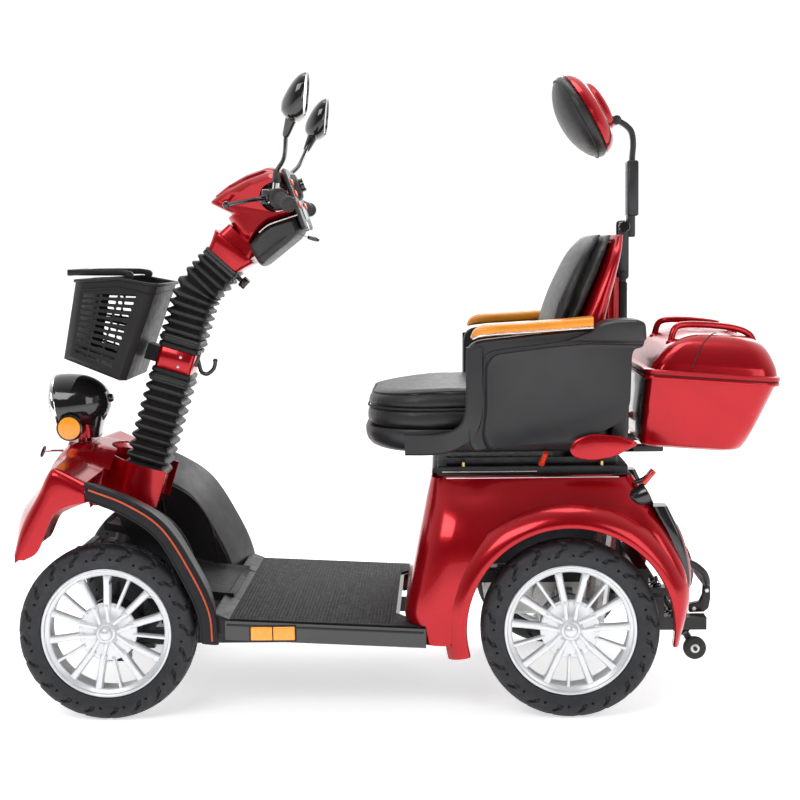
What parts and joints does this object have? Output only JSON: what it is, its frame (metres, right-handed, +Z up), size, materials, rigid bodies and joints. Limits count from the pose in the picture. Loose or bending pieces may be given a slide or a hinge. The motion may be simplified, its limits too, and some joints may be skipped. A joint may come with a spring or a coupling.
{
  "type": "mobility scooter",
  "caption": "Electric mobility scooter with bellows-covered tilting tiller, front basket, bucket armchair on a flip-up platform, folding headrest, rear trunk, fenders and alloy wheels.",
  "frame": {"origin": "on the ground, under the middle of the scooter's bounding box", "axes": "+X points to the rear, so the scooter drives towards -X; +Y is the rider's right-hand side; +Z is up"},
  "size_m": [1.7891, 0.72, 1.4659],
  "materials": {
    "red_paint": "metallic red gloss paint on moulded plastic",
    "black_plastic": "fine-grained black plastic",
    "grey_plastic": "fine-grained dark grey plastic",
    "rubber": "matte black rubber",
    "tyre_rubber": "black tyre rubber",
    "leather": "black grained artificial leather",
    "alloy": "machined and lacquered alloy",
    "steel": "satin black painted steel",
    "orange_trim": "glossy orange ribbed plastic",
    "glass": "clear lens",
    "orange_plastic": "glossy orange-red plastic",
    "battery": "matte battery case"
  },
  "bodies": {
    "chassis": {"chassis_frame": "steel", "floor_pan": "grey_plastic", "floor_mat": "rubber", "leg_shield": "black_plastic", "front_cowl": "red_paint", "left_fender": "black_plastic", "right_fender": "black_plastic", "rear_body": "red_paint", "battery_pack": "battery", "rear_transaxle": "steel", "rear_bumper": "steel"},
    "headlight": {"headlight_shell": "black_plastic", "headlight_lens": "glass"},
    "left_steering_knuckle": {"left_knuckle": "steel"},
    "right_steering_knuckle": {"right_knuckle": "steel"},
    "front_left_wheel": {"front_left_tyre": "tyre_rubber", "front_left_rim": "alloy"},
    "front_right_wheel": {"front_right_tyre": "tyre_rubber", "front_right_rim": "alloy"},
    "rear_left_wheel": {"rear_left_tyre": "tyre_rubber", "rear_left_rim": "alloy"},
    "rear_right_wheel": {"rear_right_tyre": "tyre_rubber", "rear_right_rim": "alloy"},
    "left_anti_tip": {"left_anti_tip_wheel": "rubber"},
    "right_anti_tip": {"right_anti_tip_wheel": "rubber"},
    "tiller": {"steering_column": "steel", "lower_column_cover": "red_paint", "lower_bellows": "rubber", "middle_column_cover": "red_paint", "upper_bellows": "rubber", "basket": "grey_plastic"},
    "basket_bail": {"basket_handle": "grey_plastic"},
    "tiller_head": {"upper_column_cover": "red_paint", "tiller_head_cover": "red_paint", "tiller_lower_cover": "grey_plastic", "dashboard": "grey_plastic", "handlebar": "steel", "left_grip": "rubber"},
    "throttle": {"throttle_grip": "rubber"},
    "left_brake": {"left_brake_lever": "steel"},
    "right_brake": {"right_brake_lever": "steel"},
    "key": {"ignition_key": "black_plastic"},
    "tilt_clamp": {"tilt_knob": "black_plastic"},
    "left_rear_view_mirror": {"left_mirror": "black_plastic"},
    "right_rear_view_mirror": {"right_mirror": "black_plastic"},
    "platform": {"seat_platform": "steel"},
    "seat": {"seat_shell": "leather", "seat_cushion": "leather", "left_armrest": "orange_trim", "right_armrest": "orange_trim", "backrest_pad": "leather", "backrest_shell": "red_paint", "rear_support": "grey_plastic", "trunk_base": "red_paint"},
    "slide_lever": {"seat_lever": "orange_plastic"},
    "headrest_post": {"headrest_bar": "steel"},
    "headrest_stem": {"headrest_arm": "steel"},
    "headrest": {"headrest_pad": "leather", "headrest_shell": "red_paint"},
    "lid": {"trunk_lid": "red_paint"}
  },
  "joints": [
    {"name": "steering", "type": "hinge", "parent": "chassis", "child": "tiller", "pos_m": [-0.529, 0, 0.798], "axis": [0.3007, 0, 0.9537], "range_deg": [-35, 35]},
    {"name": "left_kingpin", "type": "hinge", "parent": "chassis", "child": "left_steering_knuckle", "pos_m": [-0.65, -0.236, 0.20202], "axis": [0, 0, 1], "range_deg": [-25, 25]},
    {"name": "right_kingpin", "type": "hinge", "parent": "chassis", "child": "right_steering_knuckle", "pos_m": [-0.65, 0.236, 0.20202], "axis": [0, 0, 1], "range_deg": [-25, 25]},
    {"name": "front_left_axle", "type": "hinge", "parent": "left_steering_knuckle", "child": "front_left_wheel", "pos_m": [-0.65, -0.31, 0.20202], "axis": [0, 1, 0], "continuous": true},
    {"name": "front_right_axle", "type": "hinge", "parent": "right_steering_knuckle", "child": "front_right_wheel", "pos_m": [-0.65, 0.31, 0.20202], "axis": [0, 1, 0], "continuous": true},
    {"name": "rear_left_axle", "type": "hinge", "parent": "chassis", "child": "rear_left_wheel", "pos_m": [0.4, -0.31, 0.20202], "axis": [0, 1, 0], "continuous": true},
    {"name": "rear_right_axle", "type": "hinge", "parent": "chassis", "child": "rear_right_wheel", "pos_m": [0.4, 0.31, 0.20202], "axis": [0, 1, 0], "continuous": true},
    {"name": "left_anti_tip_axle", "type": "hinge", "parent": "chassis", "child": "left_anti_tip", "pos_m": [0.707, -0.169, 0.112], "axis": [0, 1, 0], "continuous": true},
    {"name": "right_anti_tip_axle", "type": "hinge", "parent": "chassis", "child": "right_anti_tip", "pos_m": [0.707, 0.169, 0.112], "axis": [0, 1, 0], "continuous": true},
    {"name": "headlight_aim", "type": "hinge", "parent": "chassis", "child": "headlight", "pos_m": [-0.767, 0, 0.6105], "axis": [0, 1, 0], "range_deg": [-6, 6]},
    {"name": "basket_handle_swing", "type": "hinge", "parent": "tiller", "child": "basket_bail", "pos_m": [-0.619, 0, 1.006], "axis": [0, 1, 0], "range_deg": [0, 100]},
    {"name": "tiller_tilt", "type": "hinge", "parent": "tiller", "child": "tiller_head", "pos_m": [-0.47788, 0, 0.96013], "axis": [0, -1, 0], "range_deg": [-20, 25], "deforming": ["upper_bellows"]},
    {"name": "throttle_twist", "type": "hinge", "parent": "tiller_head", "child": "throttle", "pos_m": [-0.23879, 0.215, 1.17139], "axis": [0.3317, 0.9287, -0.1658], "range_deg": [0, 60], "stiffness_Nm_per_rad": 0.3, "springref_deg": -11.46},
    {"name": "left_brake_squeeze", "type": "hinge", "parent": "tiller_head", "child": "left_brake", "pos_m": [-0.29, -0.156, 1.178], "axis": [0, 0, 1], "range_deg": [0, 22], "stiffness_Nm_per_rad": 2, "springref_deg": -8.59},
    {"name": "right_brake_squeeze", "type": "hinge", "parent": "tiller_head", "child": "right_brake", "pos_m": [-0.29, 0.156, 1.178], "axis": [0, 0, -1], "range_deg": [0, 22], "stiffness_Nm_per_rad": 2, "springref_deg": -8.59},
    {"name": "key_turn", "type": "hinge", "parent": "tiller_head", "child": "key", "pos_m": [-0.176, -0.03, 1.083], "axis": [0.9618, 0, -0.2739], "range_deg": [0, 90]},
    {"name": "tilt_knob_turn", "type": "hinge", "parent": "tiller_head", "child": "tilt_clamp", "pos_m": [-0.37788, 0, 0.99599], "axis": [0.7373, 0, -0.6756], "range_deg": [-180, 180]},
    {"name": "left_mirror_swivel", "type": "hinge", "parent": "tiller_head", "child": "left_rear_view_mirror", "pos_m": [-0.263, -0.136, 1.2165], "axis": [0, 0, 1], "range_deg": [-30, 30]},
    {"name": "right_mirror_swivel", "type": "hinge", "parent": "tiller_head", "child": "right_rear_view_mirror", "pos_m": [-0.263, 0.136, 1.2165], "axis": [0, 0, 1], "range_deg": [-30, 30]},
    {"name": "seat_flip", "type": "hinge", "parent": "chassis", "child": "platform", "pos_m": [0.1, 0, 0.545], "axis": [0, -1, 0], "range_deg": [0, 40]},
    {"name": "seat_slide", "type": "slide", "parent": "platform", "child": "seat", "axis": [1, 0, 0], "range_m": [-0.05, 0.05]},
    {"name": "slide_lever_pull", "type": "hinge", "parent": "platform", "child": "slide_lever", "pos_m": [0.345, -0.215, 0.562], "axis": [0, 1, 0], "range_deg": [-15, 15], "stiffness_Nm_per_rad": 0.3},
    {"name": "headrest_fold", "type": "hinge", "parent": "seat", "child": "headrest_post", "pos_m": [0.556, 0, 0.992], "axis": [0, -1, 0], "range_deg": [-90, 0]},
    {"name": "headrest_height", "type": "slide", "parent": "headrest_post", "child": "headrest_stem", "axis": [0, 0, 1], "range_m": [0, 0.06]},
    {"name": "headrest_tilt", "type": "hinge", "parent": "headrest_stem", "child": "headrest", "pos_m": [0.5405, 0, 1.358], "axis": [0, 1, 0], "range_deg": [-12, 12]},
    {"name": "trunk_lid_hinge", "type": "hinge", "parent": "seat", "child": "lid", "pos_m": [0.57899, 0, 0.76759], "axis": [0, -1, 0], "range_deg": [0, 50]}
  ],
  "couplings": [
    {"joint": "left_kingpin", "follows": "steering", "ratio": 0.7},
    {"joint": "right_kingpin", "follows": "steering", "ratio": 0.7}
  ]
}
